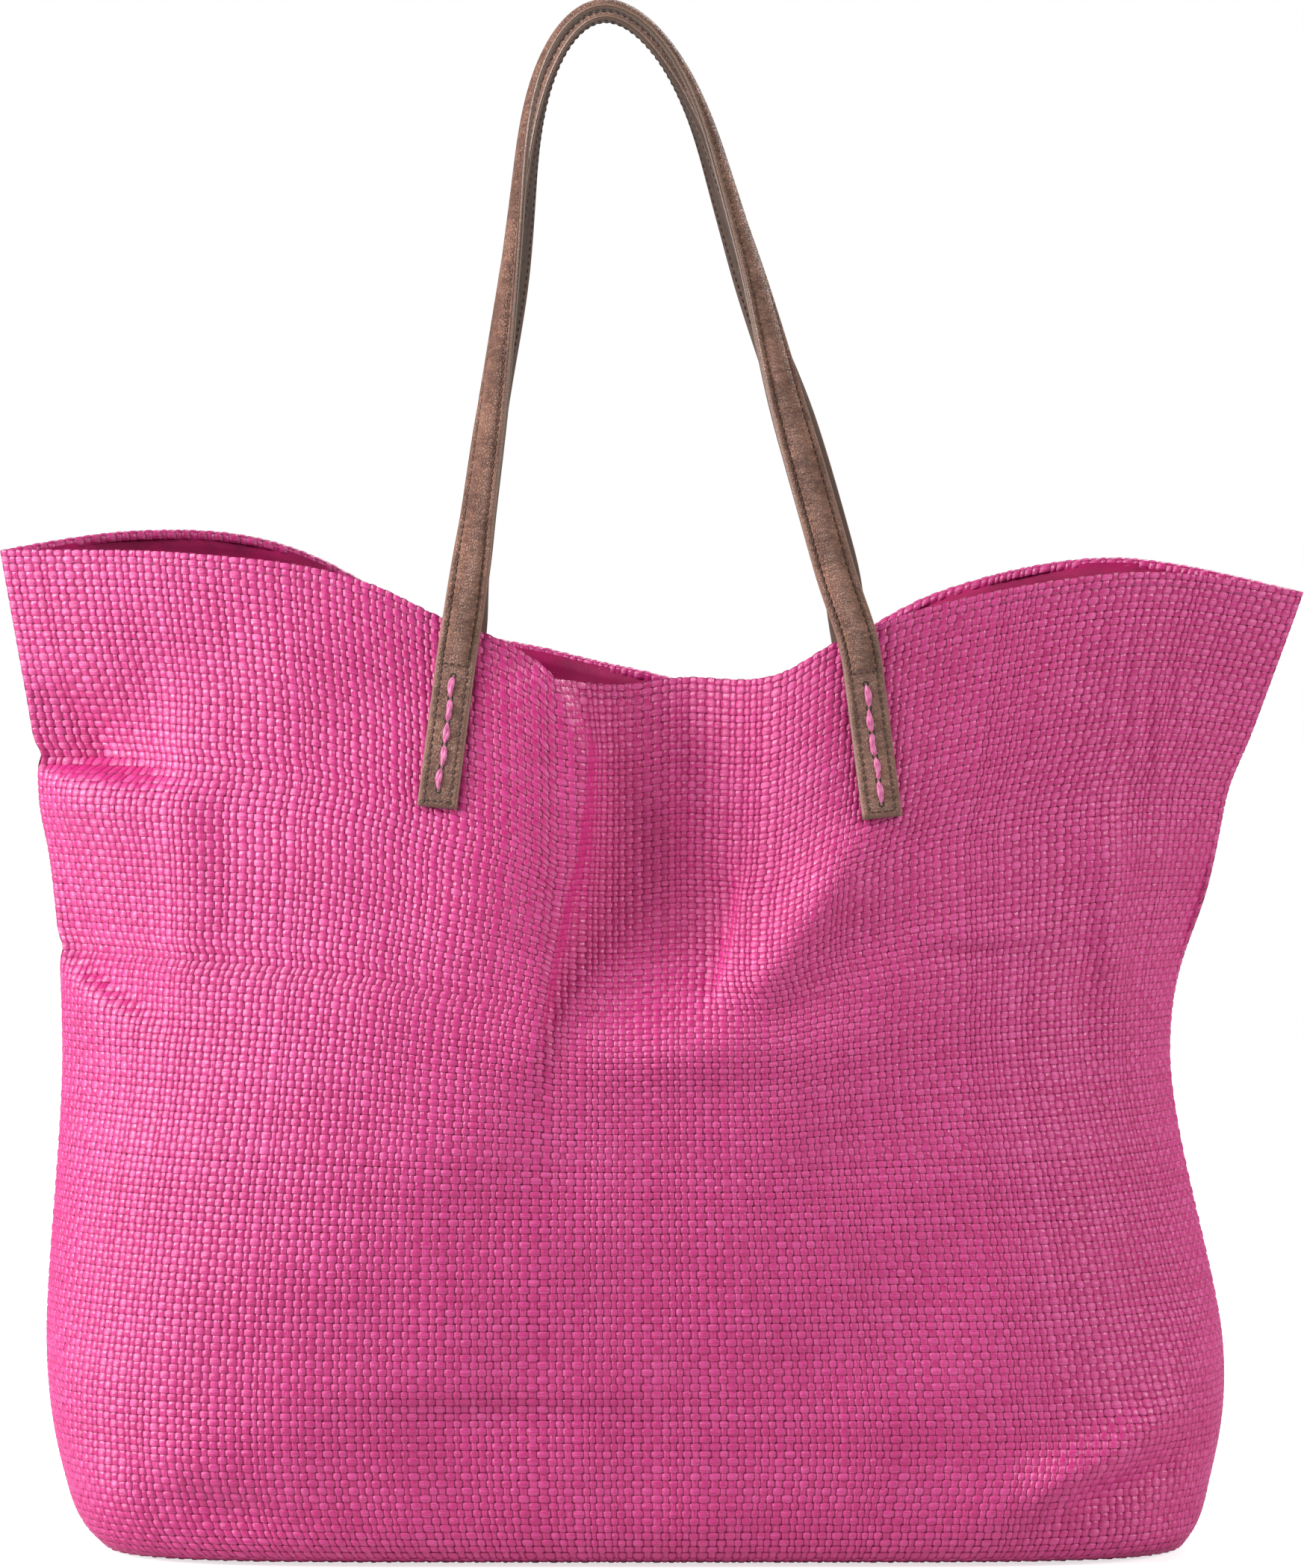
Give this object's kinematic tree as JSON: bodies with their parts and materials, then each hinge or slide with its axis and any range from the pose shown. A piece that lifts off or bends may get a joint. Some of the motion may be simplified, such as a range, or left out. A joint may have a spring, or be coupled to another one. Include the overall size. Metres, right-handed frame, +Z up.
{
  "type": "beach tote bag",
  "caption": "Large soft woven-straw beach tote with a boxed base, cloth lining and two upright padded leather handles laced to the panels.",
  "frame": {"origin": "on the floor, under the middle of the bag's outline", "axes": "+Z up, +X to the right along the mouth, +Y to the back panel"},
  "size_m": [0.562, 0.1764, 0.665],
  "materials": {
    "straw": "plain-woven paper straw, soft satin",
    "lining": "smooth matt cloth",
    "leather": "pebble-grained, soft satin",
    "backing_leather": "smooth, matt",
    "padding": "fibre padding",
    "patch_cloth": "coarse cloth",
    "lace_straw": "twisted paper straw, satin"
  },
  "bodies": {
    "bag": {"front_panel": "straw", "front_hem": "straw", "front_lining": "lining", "front_left_tab": "leather", "front_left_patch": "patch_cloth", "front_left_lacing": "lace_straw", "front_right_tab": "leather", "front_right_patch": "patch_cloth", "front_right_lacing": "lace_straw", "back_panel": "straw", "back_hem": "straw", "back_lining": "lining", "back_left_tab": "leather", "back_left_patch": "patch_cloth", "back_left_lacing": "lace_straw", "back_right_tab": "leather", "back_right_patch": "patch_cloth", "back_right_lacing": "lace_straw", "left_side_seam": "straw", "right_side_seam": "straw", "bottom_seam": "straw"},
    "front_handle_loop": {"front_handle": "leather", "front_handle_backing": "backing_leather", "front_handle_core": "padding"},
    "back_handle_loop": {"back_handle": "leather", "back_handle_backing": "backing_leather", "back_handle_core": "padding"}
  },
  "joints": [
    {"name": "front_handle_hinge", "type": "hinge", "parent": "bag", "child": "front_handle_loop", "pos_m": [0.003, -0.0646, 0.3879], "axis": [1, 0, 0], "range_deg": [0, 165]},
    {"name": "back_handle_hinge", "type": "hinge", "parent": "bag", "child": "back_handle_loop", "pos_m": [0.003, 0.0652, 0.3879], "axis": [-1, 0, 0], "range_deg": [0, 165]}
  ]
}
